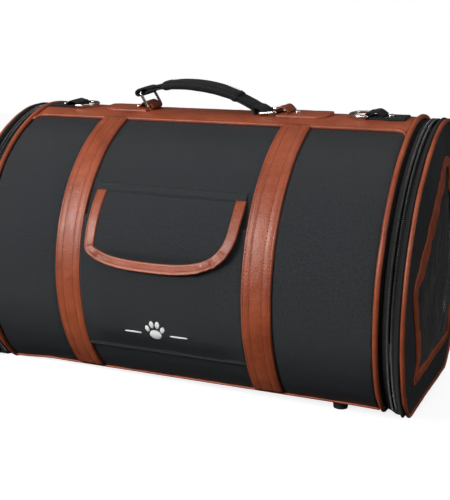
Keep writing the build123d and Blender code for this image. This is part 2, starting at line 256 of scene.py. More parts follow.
def bands(tree, vector, axis, pitch_mm):
    """Even ribs across one direction, pitch_mm apart."""
    wave = node(tree, "ShaderNodeTexWave", Vector=vector, Scale=2 * pi / (20 * pitch_mm / 1000))
    wave.bands_direction = axis
    return wave.outputs["Fac"]


def add_bump(tree, shader, height, distance, strength=1.0):
    """Raise the surface by height times distance, in metres."""
    bump = node(tree, "ShaderNodeBump", Height=height, Distance=distance, Strength=strength)
    tree.links.new(bump.outputs["Normal"], shader.inputs["Normal"])


def woven(name, dark, light, pitch, roughness, sheen, depth, uv=True):
    """Plain-woven cloth: crossing threads, uneven dye and a soft sheen."""
    material, tree, shader = new_material(
        name, roughness, Sheen_Weight=sheen, Sheen_Roughness=0.4, Specular_IOR_Level=0.42,
    )
    vector = coordinates(tree, uv)
    cloudy = speckle(tree, vector, 380.0, 4.0, 0.7)
    grain = speckle(tree, vector, 900.0, 1.0)
    threads = add_values(tree, bands(tree, vector, "X", pitch), bands(tree, vector, "Y", pitch), 1.0)
    shade = add_values(tree, cloudy, grain, 0.8)
    shade = add_values(tree, shade, threads, 0.25)
    tree.links.new(
        blend_colours(tree, remap(tree, shade, 0.85, 1.35, 0.0, 1.0), dark, light),
        shader.inputs["Base Color"])
    tree.links.new(
        remap(tree, cloudy, 0.3, 0.7, roughness - 0.06, roughness + 0.08), shader.inputs["Roughness"])
    add_bump(tree, shader, add_values(tree, threads, grain, 1.2), depth)
    return material


def ribbed(name, dark, light, across, along, roughness, depth):
    """Webbing or zipper tape: ribs across, a finer thread along."""
    material, tree, shader = new_material(
        name, roughness, Sheen_Weight=0.04, Sheen_Roughness=0.4, Specular_IOR_Level=0.18)
    vector = coordinates(tree, True)
    ribs = add_values(tree, bands(tree, vector, "Y", along), bands(tree, vector, "X", across), 0.6)
    grain = speckle(tree, vector, 700.0, 1.0)
    shade = add_values(tree, ribs, grain, 0.8)
    tree.links.new(
        blend_colours(tree, remap(tree, shade, 0.3, 2.0, 0.0, 1.0), dark, light), shader.inputs["Base Color"])
    add_bump(tree, shader, add_values(tree, ribs, grain, 0.6), depth)
    return material


def grained_leather(name, dark, light, roughness):
    """Coated leather: pebble grain, creases, uneven colour and a thin gloss."""
    material, tree, shader = new_material(
        name, roughness, Coat_Weight=0.08, Coat_Roughness=0.25, Specular_IOR_Level=0.3,
    )
    vector = coordinates(tree, False)
    pebbles = node(tree, "ShaderNodeTexVoronoi", Vector=vector, Scale=750.0).outputs["Distance"]
    cloudy = speckle(tree, vector, 26.0, 3.0)
    creases = speckle(tree, vector, 160.0, 4.0, 0.65)
    shade = add_values(tree, cloudy, pebbles, -0.25)
    shade = add_values(tree, shade, creases, 0.4)
    tree.links.new(
        blend_colours(tree, remap(tree, shade, 0.3, 0.85, 0.0, 1.0), dark, light),
        shader.inputs["Base Color"])
    tree.links.new(
        remap(tree, creases, 0.3, 0.7, roughness - 0.08, roughness + 0.1), shader.inputs["Roughness"])
    add_bump(tree, shader, add_values(tree, creases, pebbles, -0.35), 0.0006)
    return material


def worn(name, dark, light, roughness, scale, depth, **sockets):
    """Metal, rubber or plastic with fine unevenness in its colour, gloss and surface."""
    material, tree, shader = new_material(name, roughness, **sockets)
    vector = coordinates(tree, False)
    coarse = speckle(tree, vector, scale, 3.0)
    fine = speckle(tree, vector, scale * 9, 2.0)
    tree.links.new(
        blend_colours(tree, remap(tree, coarse, 0.3, 0.7, 0.0, 1.0), dark, light),
        shader.inputs["Base Color"])
    tree.links.new(
        remap(tree, fine, 0.3, 0.7, roughness * 0.75, roughness * 1.25), shader.inputs["Roughness"])
    add_bump(tree, shader, add_values(tree, coarse, fine, 0.5), depth)
    return material


nylon = woven("black_nylon", (0.0040, 0.0052, 0.0064), (0.032, 0.037, 0.042), 0.55, 0.45, 0.0, 0.00016)
tape_cloth = ribbed("zipper_tape_cloth", (0.004, 0.004, 0.004), (0.020, 0.020, 0.020), 1.3, 0.9, 0.6, 0.00022)
web_cloth = ribbed("black_webbing", (0.005, 0.0052, 0.0055), (0.020, 0.021, 0.023), 2.2, 1.1, 0.55, 0.00030)
leather = grained_leather("tan_leather", (0.190, 0.036, 0.0125), (0.34, 0.080, 0.033), 0.40)
tooth_plastic = worn("zipper_teeth", (0.030, 0.030, 0.031), (0.075, 0.075, 0.078), 0.3, 300.0, 0.00003)
net_thread = worn("mesh_thread", (0.018, 0.018, 0.019), (0.045, 0.045, 0.047), 0.5, 500.0, 0.00003)
nickel = worn(
    "nickel", (0.62, 0.60, 0.56), (0.80, 0.78, 0.74), 0.2, 160.0, 0.00002, Metallic=1.0)
steel = worn("zinc_steel", (0.38, 0.38, 0.38), (0.55, 0.55, 0.54), 0.36, 220.0, 0.00003, Metallic=1.0)
rubber = worn("foot_rubber", (0.010, 0.010, 0.010), (0.020, 0.020, 0.020), 0.62, 260.0, 0.00006)
board = worn("board_plastic", (0.022, 0.022, 0.023), (0.036, 0.036, 0.037), 0.5, 180.0, 0.00008)
fleece = woven("pad_fleece", (0.24, 0.225, 0.205), (0.40, 0.38, 0.35), 2.4, 0.85, 0.6, 0.0009, uv=False)
fuzzy = woven("hook_and_loop", (0.008, 0.008, 0.008), (0.028, 0.028, 0.030), 0.9, 0.75, 0.5, 0.0006)
dark_thread = worn("dark_thread", (0.105, 0.018, 0.009), (0.16, 0.030, 0.015), 0.5, 900.0, 0.00003)
tan_thread = worn("tan_thread", (0.11, 0.028, 0.015), (0.19, 0.05, 0.028), 0.5, 900.0, 0.00003)
black_thread = worn("black_thread", (0.012, 0.012, 0.013), (0.035, 0.035, 0.037), 0.5, 900.0, 0.00003)
white_thread = worn("white_thread", (0.72, 0.72, 0.72), (0.90, 0.90, 0.90), 0.5, 900.0, 0.00006)


# ---------------------------------------------------------------- mesh building

def add_object(name, vertices, faces, material, body, uvs=None, smooth=True):
    """A mesh piece that rides on a body; body is None for one that this call does not attach."""
    mesh = bpy.data.meshes.new(name)
    mesh.from_pydata([place(vertex) for vertex in vertices], [], faces)
    if uvs:
        layer = mesh.uv_layers.new(name="UVMap")
        layer.data.foreach_set("uv", [value / 1000 for pair in uvs for value in pair])
    mesh.polygons.foreach_set("use_smooth", [smooth] * len(mesh.polygons))
    mesh.materials.append(material)
    mesh.update()
    piece = bpy.data.objects.new(name, mesh)
    bpy.context.scene.collection.objects.link(piece)
    if body:
        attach(piece, body)
    return piece


def gap(first, second):
    """Distance between two points."""
    return sqrt(sum((a - b) ** 2 for a, b in zip(first, second)))


def loft(name, rings, material, body, closed=True, loop=False, caps=True):
    """A skin over rings of points; closed joins each ring's ends, loop joins the last ring to the first."""
    count = len(rings[0])
    vertices = [point for ring in rings for point in ring]
    faces = []
    uvs = []
    along = [0.0]
    for i in range(1, len(rings) + 1):
        along.append(along[-1] + gap(rings[i - 1][0], rings[i % len(rings)][0]))
    across = [0.0]
    middle = rings[len(rings) // 2]
    for k in range(1, count + 1):
        across.append(across[-1] + gap(middle[k - 1], middle[k % count]))
    for i in range(len(rings) if loop else len(rings) - 1):
        here = i * count
        there = ((i + 1) % len(rings)) * count
        for k in range(count if closed else count - 1):
            next_k = (k + 1) % count
            faces.append((here + k, here + next_k, there + next_k, there + k))
            uvs += [(across[k], along[i]), (across[k + 1], along[i]),
                    (across[k + 1], along[i + 1]), (across[k], along[i + 1])]
    if caps and closed and not loop:
        last = (len(rings) - 1) * count
        faces.append(tuple(reversed(range(count))))
        faces.append(tuple(range(last, last + count)))
        uvs += [(across[k], 0.0) for k in reversed(range(count))]
        uvs += [(across[k], along[-1]) for k in range(count)]
    return add_object(name, vertices, faces, material, body, uvs)


def band(name, stations, edges, material, body, drop=0.0, loop=False):
    """A closed strip round the section. edges(s) lists the (x, offset) corners of its cross-section."""
    rings = []
    for s in stations:
        rings.append([on_section(x, s, offset, drop) for x, offset in edges(s)])
    return loft(name, rings, material, body, loop=loop)


def slab(xs, top, bottom):
    """Cross-section of a sheet: its outer line and then its inner line back again."""
    return [(x, top(x)) for x in xs] + [(x, bottom) for x in reversed(xs)]


def tube_faces(base, sides, steps, capped=True, flip=False):
    """Faces of a tube whose points start at base, with sides points to each of its rings."""
    faces = []
    for step in range(steps):
        for turn in range(sides):
            a = base + step * sides + turn
            b = base + step * sides + (turn + 1) % sides
            faces.append((a, b, b + sides, a + sides))
    if capped:
        last = base + steps * sides
        faces.append(tuple(base + turn for turn in reversed(range(sides))))
        faces.append(tuple(last + turn for turn in range(sides)))
    return [face[::-1] for face in faces] if flip else faces


def stitches(name, lines, material, body, length=2.5, space=1.0, radius=0.38):
    """Short threads along lines of (point, normal) pairs, all in one mesh."""
    vertices = []
    faces = []
    for line in lines:
        spare = 0.0
        for i in range(1, len(line)):
            start = Vector(line[i - 1][0])
            end = Vector(line[i][0])
            along = end - start
            total = along.length
            if total < 1e-6:
                continue
            along.normalize()
            up = Vector(line[i][1]).normalized()
            side = along.cross(up).normalized()
            at = spare
            while at + length <= total + 1e-6:
                base = len(vertices)
                for share, width in ((0.0, 0.3), (0.2, 1.0), (0.8, 1.0), (1.0, 0.3)):
                    centre = start + along * (at + share * length)
                    for turn in range(6):
                        angle = turn * pi / 3
                        spoke = side * cos(angle) + up * sin(angle) * 0.8
                        vertices.append(tuple(centre + spoke * radius * width))
                faces += tube_faces(base, 6, 3)
                at += length + space
            spare = max(at - total, 0.0)
    return add_object(name, vertices, faces, material, body, None)


def seam_line(x_of, s_of, steps, offset, drop=0.0):
    """Points and normals along a line on the section, for stitches."""
    line = []
    for t in steps:
        s = s_of(t)
        _, _, normal_y, normal_z = section(s)
        line.append((on_section(x_of(t), s, offset, drop), (0.0, normal_y, normal_z)))
    return line


def circle(centre_x, centre_offset, radius, count=12):
    """A round cross-section as (x, offset) corners."""
    corners = []
    for i in range(count):
        angle = 2 * pi * i / count
        corners.append((centre_x + radius * cos(angle), centre_offset + radius * sin(angle)))
    return corners


# ---------------------------------------------------------------- barrel

def strap_centre(side):
    """Middle of the left (-1) or right (1) strap."""
    return sewn_x + side * strap_half_spacing


front_low = front_at_height(side_seam_height)
strip_front = top_at(strip_y - strip_half)
strip_back = top_at(strip_y + strip_half)
back_low = around - front_low
panel_x = spread(-panel_end, panel_end, 4.0)


def cloth_relief(x, s, low, high):
    """How far the padded cloth stands off: fuller between seams, puckered along them."""
    fullness = 0.0
    for left, right in (
        (-panel_end, strap_centre(-1) - strap_half),
        (strap_centre(1) + strap_half, panel_end),
    ):
        if left < x < right:
            t = (x - left) / (right - left)
            fullness = 1.7 * (4 * t * (1 - t)) ** 0.6
    ends = fade(s, low, low + 22) * (1 - fade(s, high - 16, high))
    relief = fullness * ends + 0.55 * wobble(x, s, 70, 3.1) * ends + 0.22 * wobble(x, s, 19, 7.7) * ends
    from_ring = panel_end - abs(x)
    relief += 0.5 * wobble(s, 0.0, 9.0, 2.2) * (1 - fade(from_ring, 2, 14))
    relief += 0.5 * wobble(x, 0.0, 11.0, 5.9) * (1 - fade(s - low, 2, 12))
    for side in (-1, 1):
        beside = abs(abs(x - strap_centre(side)) - strap_half)
        relief -= 0.55 * (1 - fade(beside, 0.0, 5.0))
    return relief


def barrel_panel(name, low, high):
    """One long side of the bag."""
    def edges(s):
        return slab(panel_x, lambda x: cloth_relief(x, s, low, high), -wall)
    return band(name, spread(low, high, 4.0), edges, nylon, "root")


front_shell = barrel_panel("shell_front", front_low, strip_front)
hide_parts("front_panel")
back_shell = barrel_panel("shell_back", strip_back, back_low)
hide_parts("back_panel")


def bottom_relief(x, s):
    """Slight unevenness of the bottom cloth over its board."""
    return 0.25 * wobble(x, s, 60, 1.3)


bottom_shell = band(
    "shell_bottom",
    spread(back_low, around + front_low, 4.0),
    lambda s: slab(panel_x, lambda x: bottom_relief(x, s), -wall),
    nylon, "root",
)
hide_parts("bottom_panel")


def strip_flare(x):
    """How much wider the top strip is sewn where it meets the end piping."""
    into = 13.0 - (panel_end - abs(x))
    if into <= 0:
        return 0.0
    return 11.0 * (1 - sqrt(max(0.0, 1 - (into / 13.0) ** 2)))


strip_steps = [0.0, 0.010, 0.022, 0.04, 0.06, 0.075, 0.09, 0.12] + spread(0.16, 0.84, 0.04) + [
    0.88, 0.91, 0.925, 0.94, 0.96, 0.978, 0.990, 1.0]


def strip_s(x, t):
    """Distance along the section to a share of the top strip's width."""
    low = strip_front - strip_flare(x)
    high = strip_back + strip_flare(x)
    return low + (high - low) * t


def strip_relief(x, t):
    """Height of the top strip: a rounded folded edge, a stitched channel and slight bumps."""
    from_edge = min(t, 1 - t) * 2 * strip_half
    hem = 1.3 * (1 - fade(from_edge, 2.2, 4.6)) * fade(from_edge, -0.4, 1.0)
    channel = -0.35 * (1 - fade(abs(from_edge - 5.0), 0.0, 1.6))
    bumps = 0.55 * wobble(x, t * 65, 22, 4.4) + 0.25 * wobble(x, t * 65, 7, 8.1)
    return 1.2 + hem + channel + bumps * fade(from_edge, 3, 10) + 0.2 * wobble(x, 0, 8, 1.1)


strip_x = spread(-panel_end, panel_end, 3.0)
strip_rings = []
for x in strip_x:
    upper = [on_section(x, strip_s(x, t), strip_relief(x, t)) for t in strip_steps]
    lower = [on_section(x, strip_s(x, t), -wall) for t in reversed(strip_steps)]
    strip_rings.append(upper + lower)
top_strip = loft("top_strip", strip_rings, leather, "root")
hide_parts("top_panel")
hem_lines = []
for t in (0.077, 0.923):
    line = []
    for x in spread(-panel_end + 4, panel_end - 4, 3.5):
        s = strip_s(x, t)
        _, _, normal_y, normal_z = section(s)
        line.append((on_section(x, s, strip_relief(x, t) + 0.05), (0, normal_y, normal_z)))
    hem_lines.append(line)
stitches("top_strip_stitches", hem_lines, tan_thread, "root")


# ---------------------------------------------------------------- leather straps

stitch_rows = (12.6, 6.2)
strap_steps = (
    0, 2.4, 4.6, 5.6, 6.2, 6.8, 7.6, 9.4, 11.0, 12.0, 12.6, 13.2, 13.8, 14.3, 14.8, 15)
strap_stations = [-x for x in strap_steps[:0:-1]] + list(strap_steps)


def strap_profile(centre, s, seed):
    """A strap's cross-section: rounded edges, four sewn channels and a slightly full middle."""
    outer = []
    for x in strap_stations:
        from_edge = strap_half - abs(x)
        height = strap_thickness * sqrt(max(0.0, 1 - max(0.0, 1 - from_edge / 1.3) ** 2))
        for row in stitch_rows:
            height -= 0.16 * max(0.0, 1 - abs(abs(x) - row) / 0.7)
        height += 0.30 * (1 - fade(abs(x), 2, 6)) + 0.30 * (1 - fade(abs(abs(x) - 9.4), 0.5, 3.0))
        height += 0.22 * wobble(s, x * 3, 14, seed)
        outer.append((centre + x + 0.25 * wobble(s, 0, 30, seed + 2), max(height, 0.25)))
    return outer + [(centre + strap_half - 0.3, -0.6), (centre - strap_half + 0.3, -0.6)]


for side, name in ((-1, "left"), (1, "right")):
    centre = strap_centre(side)
    for face, low, high in (
        ("front", front_at_height(6.4), strip_front + 2.5),
        ("back", strip_back - 2.5, around - front_at_height(6.4)),
    ):
        seed = 11.0 + side * 2 + (5 if face == "back" else 0)
        strap = band(
            f"leather_strap_{face}_{name}", spread(low, high, 3.0),
            lambda s: strap_profile(centre, s, seed), leather, "root",
        )
        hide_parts(f"strap_{face}_{name}")
        lines = []
        for row in stitch_rows:
            for edge in (-1, 1):
                lines.append(seam_line(
                    lambda t: centre + edge * row, lambda t: t,
                    spread(low + 2, high - 4, 3.2), strap_thickness - 0.05))
        stitches(f"strap_stitches_{face}_{name}", lines, dark_thread, "root", length=1.9, space=1.3)


# ---------------------------------------------------------------- pocket, its flap and the mark

pocket_left = strap_centre(-1) + strap_half - 1.0
pocket_right = strap_centre(1) - strap_half + 1.0


def pocket_relief(x, s):
    """The pocket's front: tucked under the straps and along its lower seam, a little full between."""
    t = (x - pocket_left) / (pocket_right - pocket_left)
    sides = fade(t, 0.0, 0.16) * fade(1 - t, 0.0, 0.16)
    rise_in = fade(s, pocket_s_low, pocket_s_low + 26)
    seam = 0.9 * (1 - fade(s - pocket_s_low, 1.0, 3.2))
    return 1.5 + 3.2 * sides * rise_in + seam + 0.35 * wobble(x, s, 45, 6.6) * sides


def pocket_section(s):
    """The pocket's cross-section: its front and then its back."""
    front = [(x, pocket_relief(x, s)) for x in pocket_x]
    return front + [(x, offset - 1.3) for x, offset in reversed(front)]


pocket_s_low = front_at_height(pocket_low)
pocket_s_high = front_at_height(pocket_high)
pocket_x = spread(pocket_left, pocket_right, 3.5)
pocket_piece = band(
    "pocket_cloth",
    [pocket_s_low, pocket_s_low + 0.6] + spread(pocket_s_low + 1.4, pocket_s_low + 4.5, 0.6)
    + spread(pocket_s_low + 6, pocket_s_high, 4.0),
    pocket_section, nylon, "root",
)
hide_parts("pocket_front")
stitches(
    "pocket_stitches",
    [seam_line(
        lambda t: t, lambda t: pocket_s_low + 4.0, spread(pocket_left + 2, pocket_right - 2, 3.5), 1.75)],
    black_thread, "root",
)


def flap_stand_off(z):
    """How far the flap's cloth stands off from the bag at a height."""
    t = (flap_high - z) / (flap_high - flap_low)
    return 1.0 + 8.2 * (1 - (1 - min(max(t, 0.0), 1.0)) ** 1.8)


def flap_point(x, z, lift=0.0):
    """A point on the flap, x from its middle."""
    return on_section(sewn_x + flap_shift + x, front_at_height(z), flap_stand_off(z) + lift)


flap_half = 81.2
flap_corners = [
    (-flap_half, flap_high), (-flap_half, 142), (-80, 131), (-66, 124.5), (-45, 119.8), (-10, flap_low),
    (25, 119.5), (50, 124), (68, 133), (79, 149), (flap_half, 166), (flap_half, flap_high)]


def cut_corners(points):
    """An open line with each of its corners cut, for rounding it."""
    result = [points[0]]
    for a, b in zip(points, points[1:]):
        result.append((a[0] * 0.75 + b[0] * 0.25, a[1] * 0.75 + b[1] * 0.25))
        result.append((a[0] * 0.25 + b[0] * 0.75, a[1] * 0.25 + b[1] * 0.75))
    return result + [points[-1]]


def resampled(points, step):
    """An open line with evenly spaced points."""
    run = [0.0]
    for a, b in zip(points, points[1:]):
        run.append(run[-1] + hypot(b[0] - a[0], b[1] - a[1]))
    result = []
    k = 0
    for at in spread(0, run[-1], step):
        while k < len(points) - 2 and run[k + 1] < at:
            k += 1
        t = (at - run[k]) / max(run[k + 1] - run[k], 1e-9)
        a, b = points[k], points[k + 1]
        result.append((a[0] + (b[0] - a[0]) * t, a[1] + (b[1] - a[1]) * t))
    return result


flap_outline = flap_corners
for _ in range(3):
    flap_outline = cut_corners(flap_outline)
outline_step = 2.0
flap_outline = resampled(flap_outline, outline_step)


def flap_edge(inset=0.0):
    """The flap's outline from its top left corner round to its top right corner, pulled in by inset."""
    points = []
    last = len(flap_outline) - 1
    for i, (x, z) in enumerate(flap_outline):
        before = flap_outline[max(i - 1, 0)]
        after = flap_outline[min(i + 1, last)]
        length = hypot(after[0] - before[0], after[1] - before[1])
        points.append((
            x - (after[1] - before[1]) / length * inset,
            min(z + (after[0] - before[0]) / length * inset * 0.85, flap_high)))
    return points


def flap_width(z, inset):
    """The flap's left and right limits at a height."""
    edge = flap_edge(inset)
    crossings = []
    for a, b in zip(edge, edge[1:]):
        if a[1] != b[1] and min(a[1], b[1]) <= z <= max(a[1], b[1]):
            crossings.append(a[0] + (b[0] - a[0]) * (z - a[1]) / (b[1] - a[1]))
    if not crossings:
        lowest = min(edge, key=lambda point: point[1])
        return lowest[0] - 1, lowest[0] + 1
    return min(crossings), max(crossings)


flap_rows = []
core_inset = flap_border - 2.5
for t in spread(0.0, 1.0, 0.035):
    z = flap_high - (flap_high - flap_low - core_inset) * (1 - (1 - t) ** 1.5)
    left, right = flap_width(z, core_inset)
    outer = []
    inner = []
    for share in spread(0.0, 1.0, 0.04):
        x = left + (right - left) * share
        full = 0.7 * sin(pi * share) * sin(pi * min(t * 1.1, 1.0)) + 0.3 * wobble(x, z, 24, 9.3)
        outer.append(flap_point(x, z, full + 0.2))
        inner.append(flap_point(x, z, full - 1.3))
    flap_rows.append(outer + inner[::-1])
flap_core = loft("flap_cloth", flap_rows, nylon, "flap")
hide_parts("pocket_flap")

border_profile = (
    (0.0, 0.1), (0.02, 0.95), (0.08, 1.30), (0.2, 1.25), (0.45, 1.35), (0.7, 1.55), (0.82, 1.35), (0.88, 1.8),
    (0.95, 2.0), (1.0, 1.5), (1.02, 0.4), (1.0, -0.9), (0.9, -1.5), (0.5, -1.2), (0.05, -1.2))
border_rings = []
run = 0.0
for (x, z), nearest in zip(flap_edge(), flap_edge(flap_border)):
    run += outline_step
    curl = 1 - fade(hypot((x - 62) / 30, (z - 132) / 22), 0.2, 1.2)
    curl += 0.5 * (1 - fade(hypot((x + 76) / 20, (z - 130) / 20), 0.2, 1.2))
    pucker = wobble(run, 0.0, 4.6, 3.3) * (0.25 + 2.6 * curl)
    wave = wobble(run, 0.0, 17.0, 12.1)
    ring = []
    for share, lift in border_profile:
        px = nearest[0] + (x - nearest[0]) * share
        pz = nearest[1] + (z - nearest[1]) * share
        bump = pucker * sin(pi * min(max(share, 0.0), 1.0)) + 0.35 * wave * share
        lift += bump if lift > 0 else bump * 0.5
        ring.append(flap_point(px + 0.5 * wave * share, pz + 0.4 * pucker * share, lift))
    border_rings.append(ring)
flap_trim = loft("flap_trim", border_rings, leather, "flap")
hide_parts("flap_border")
trim_line = []
for x, z in flap_edge(flap_border - 1.7):
    if z > flap_high - 7.0:
        continue
    centre = flap_point(x, z, 1.35)
    _, _, normal_y, normal_z = section(front_at_height(z))
    trim_line.append((centre, (0, normal_y, normal_z)))
stitches("flap_trim_stitches", [trim_line], tan_thread, "flap", length=2.2, space=0.9)

hinge_s = front_at_height(flap_high)
hinge_edges = [
    (-1.6, -0.4), (-1.2, 1.0), (0.2, 1.9), (1.8, 2.1), (3.4, 1.4), (5.2, 0.9), (9.0, 0.75), (9.4, -0.4)]
hinge_rings = []
for x in spread(-82.0, 82.0, 3.0):
    ripple = 0.25 * wobble(x, 0, 9, 4.0)
    ring = []
    for ds, off in hinge_edges:
        ring.append(on_section(sewn_x + x, hinge_s + ds, off + (ripple if off > 0 else 0)))
    hinge_rings.append(ring)
loft("flap_seam", hinge_rings, nylon, "root")
stitches(
    "flap_seam_stitches",
    [seam_line(lambda t: t, lambda t: hinge_s + 6.2, spread(sewn_x - 80, sewn_x + 80, 3.5), 0.95)],
    black_thread, "root",
)

for name, body, low, high, lift in (
    ("loop_patch", "root", 124.0, 140.0, None),
    ("hook_patch", "flap", 130.0, 141.0, -2.3),
):
    rings = []
    for z in spread(low, high, 1.0):
        s = front_at_height(z)
        outer = []
        inner = []
        for x in spread(sewn_x - 25, sewn_x + 25, 1.25):
            if lift is None:
                base = pocket_relief(x, s)
                outer.append(on_section(x, s, base + 1.0 + 0.25 * wobble(x, z, 1.4, 2.0)))
                inner.append(on_section(x, s, base - 0.2))
            else:
                outer.append(on_section(x, s, flap_stand_off(z) - 1.0))
                inner.append(on_section(x, s, flap_stand_off(z) + lift + 0.2 * wobble(x, z, 1.2, 2.0)))
        rings.append(outer + inner[::-1])
    patch = loft(name + "_tape", rings, fuzzy, body)
    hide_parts(name)


def embroidered(name, ovals):
    """Satin-stitched ovals on the pocket: each is a domed patch of close threads."""
    vertices = []
    faces = []
    for centre_x, centre_z, half_x, half_z, tilt in ovals:
        count = max(6, int(half_x * 2 / 0.55))
        for i in range(count):
            u = -1 + 2 * (i + 0.5) / count
            reach = half_z * sqrt(1 - u * u)
            if reach < 0.4:
                continue
            base = len(vertices)
            for v, width in ((-1, 0.15), (-0.8, 0.3), (0, 0.34), (0.8, 0.3), (1, 0.15)):
                for turn in range(5):
                    angle = 2 * pi * turn / 5
                    local_x = u * half_x + width * cos(angle)
                    local_z = v * reach
                    x = centre_x + local_x * cos(tilt) - local_z * sin(tilt)
                    z = centre_z + local_x * sin(tilt) + local_z * cos(tilt)
                    s = front_at_height(z)
                    lift = 0.75 * (1 - v * v * 0.8) * sqrt(1 - u * u * 0.6)
                    vertices.append(on_section(x, s, pocket_relief(x, s) + lift + width * sin(angle)))
            faces += tube_faces(base, 5, 4)
    return add_object(name, vertices, faces, white_thread, "root", None)


mark_x = -8.0
mark_z = 62.0
embroidered("paw_mark", [
    (mark_x, mark_z - 3.5, 6.4, 5.0, 0.0),
    (mark_x - 8.2, mark_z + 2.2, 2.2, 3.4, 0.45),
    (mark_x - 3.1, mark_z + 6.6, 2.3, 3.7, 0.14),
    (mark_x + 3.1, mark_z + 6.6, 2.3, 3.7, -0.14),
    (mark_x + 8.2, mark_z + 2.2, 2.2, 3.4, -0.45),
    (mark_x - 25.5, mark_z - 3.0, 10.5, 0.9, 0.0),
    (mark_x + 25.5, mark_z - 3.0, 10.5, 0.9, 0.0),
])


# ---------------------------------------------------------------- pipings

def piping(name, x, offset, radius, body, drop=0.0, seed=0.0, replaced=()):
    """A leather piping round the whole section, with small crush marks along it."""
    def edges(s):
        swell = 0.14 * wobble(s, 0, 9, seed) + 0.10 * wobble(s, 0, 3.1, seed + 4)
        shift = 0.35 * wobble(s, 0, 34, seed + 9)
        tucked = 1 - fade(section(s)[1], 3, 26)
        rise_of = offset + 0.2 * wobble(s, 0, 21, seed + 5) - 1.6 * tucked
        return circle(x + shift, rise_of, radius + swell - 0.5 * tucked, 14)
    tube = band(name, spread(0, around, 2.2)[:-1], edges, leather, body, drop, loop=True)
    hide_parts(*replaced)
    return tube


for side, name in ((-1, "left"), (1, "right")):
    piping(
        f"end_piping_{name}", side * ring_x, 1.9, 2.55, "root", seed=1.0 + side,
        replaced=[f"body_piping_{name}"])
    piping(
        f"door_edge_piping_{name}", side * (door_x + 0.3), 1.3, 2.2, f"door_{name}", door_drop,
        seed=6.0 + side, replaced=[f"door_piping_{name}"])

for index, (name, side) in enumerate((("front", 1), ("back", -1))):
    s = front_low if side == 1 else back_low
    rings = []
    for x in spread(-panel_end, panel_end, 3.0):
        swell = 1.25 + 0.12 * wobble(x, 0, 7, 20 + index)
        ring = []
        for i in range(10):
            angle = 2 * pi * i / 10
            ring.append(on_section(x, s - side * 0.8 + side * swell * cos(angle), 0.5 + swell * sin(angle)))
        rings.append(ring if side == 1 else ring[::-1])
    tube = loft(f"bottom_seam_piping_{name}", rings, leather, "root")
    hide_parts(f"bottom_piping_{name}")


# ---------------------------------------------------------------- gusset: tapes and zipper teeth

arch_start = front_at_height(arch_low)
arch_end = around - arch_start
body_tape = (
    (213.0, -0.2), (214.4, -1.7), (215.6, -3.0), (216.8, -2.7), (217.5, -1.5), (218.2, -1.05), (218.8, -1.35),
    (219.4, -1.1), (220.0, -1.4), (220.6, -1.1), (221.2, -1.35), (221.9, -1.2))
door_tape = (
    (226.1, -1.2), (226.7, -1.3), (227.1, -0.5), (227.6, -0.9), (228.1, -0.6), (228.7, 0.4), (229.2, 0.9),
    (229.7, 1.9), (230.3, 2.9), (231.0, 3.7), (231.8, 4.2), (232.6, 4.2), (233.3, 3.6), (233.9, 2.4),
    (234.7, -0.8))
tooth_pitch = 1.9

for side, name in ((-1, "left"), (1, "right")):
    door = f"door_{name}"
    for kind, line, body, drop, seed in (
        ("zipper_tape_", body_tape, "root", 0.0, 31.0), ("door_tape_", door_tape, door, door_drop, 37.0),
    ):
        def edges(s):
            ripple = 0.25 * wobble(s, 0, 12, seed + side)
            outer = [(side * x, offset + ripple) for x, offset in line]
            inner = [(side * x, offset - 1.3) for x, offset in reversed(line)]
            return outer + inner
        stations = spread(arch_start, arch_end, 3.0)
        tape = band(
            kind + "cloth_" + name, stations if side == 1 else stations[::-1],
            edges, tape_cloth, body, drop)
        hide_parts(kind + name)
    for kind, low, high, body in (
        ("zipper_coil_", coil_x - 3.1, coil_x - 0.6, "root"),
        ("door_coil_", coil_x + 0.6, coil_x + 3.0, door),
    ):
        vertices = []
        faces = []
        count = int((arch_end - arch_start) / tooth_pitch)
        phase = 0.0 if body == "root" else 0.5
        for i in range(count):
            s = arch_start + (i + 0.5 + phase) * tooth_pitch
            base = len(vertices)
            for x, height, half in (
                (low, 0.0, 0.24), (low + 0.6, 0.75, 0.36), (high - 0.6, 0.8, 0.40), (high, 0.1, 0.30),
            ):
                for ds, off in (
                    (-half, -1.9), (-half, height - 0.35), (-half * 0.5, height),
                    (half * 0.5, height), (half, height - 0.35), (half, -1.9),
                ):
                    vertices.append(on_section(side * x, s + ds, off))
            faces += tube_faces(base, 6, 3, flip=side == -1)
        teeth = add_object(kind + "teeth_" + name, vertices, faces, tooth_plastic, body, None)
        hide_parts(kind + name)
    gusset_x = spread(213.6, 234.2, 1.4)

    def gusset_edges(s):
        outer = []
        for x in gusset_x:
            tucked = -1.2 * (1 - fade(x, 214.5, 217.5))
            roll = 3.4 * fade(x, 216.5, 226.0) * (1 - fade(x, 232.4, 235.2))
            outer.append((side * x, -1.2 + tucked + roll + 0.3 * wobble(x * 3, s, 9, 41)))
        inner = [(x, offset - 1.2) for x, offset in reversed(outer)]
        return outer + inner
    stations = spread(-arch_start - 1.0, arch_start + 1.0, 3.0)
    gusset = band(
        f"gusset_bottom_{name}", stations if side == 1 else stations[::-1],
        gusset_edges, nylon, None)
    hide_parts(f"hinge_strip_{name}")
    place((side * 216.0, 0, -4.4))
    place((side * 234.0, 0, -4.4))
    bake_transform(gusset)


# ---------------------------------------------------------------- doors

window_points = [(-85, 26), (86, 33), (80, 52), (114, 123), (11, 235), (-11, 235), (-115, 123), (-79, 46)]
window_corners = [4, 4, 18, 22, 13, 13, 22, 18]
binding_profile = (
    (0.0, 0.2), (0.02, 1.2), (0.10, 1.9), (0.25, 1.7), (0.5, 1.6), (0.75, 1.7), (0.9, 2.0), (0.98, 1.5),
    (1.0, 0.3), (0.95, -1.8), (0.6, -2.0), (0.3, -1.0))


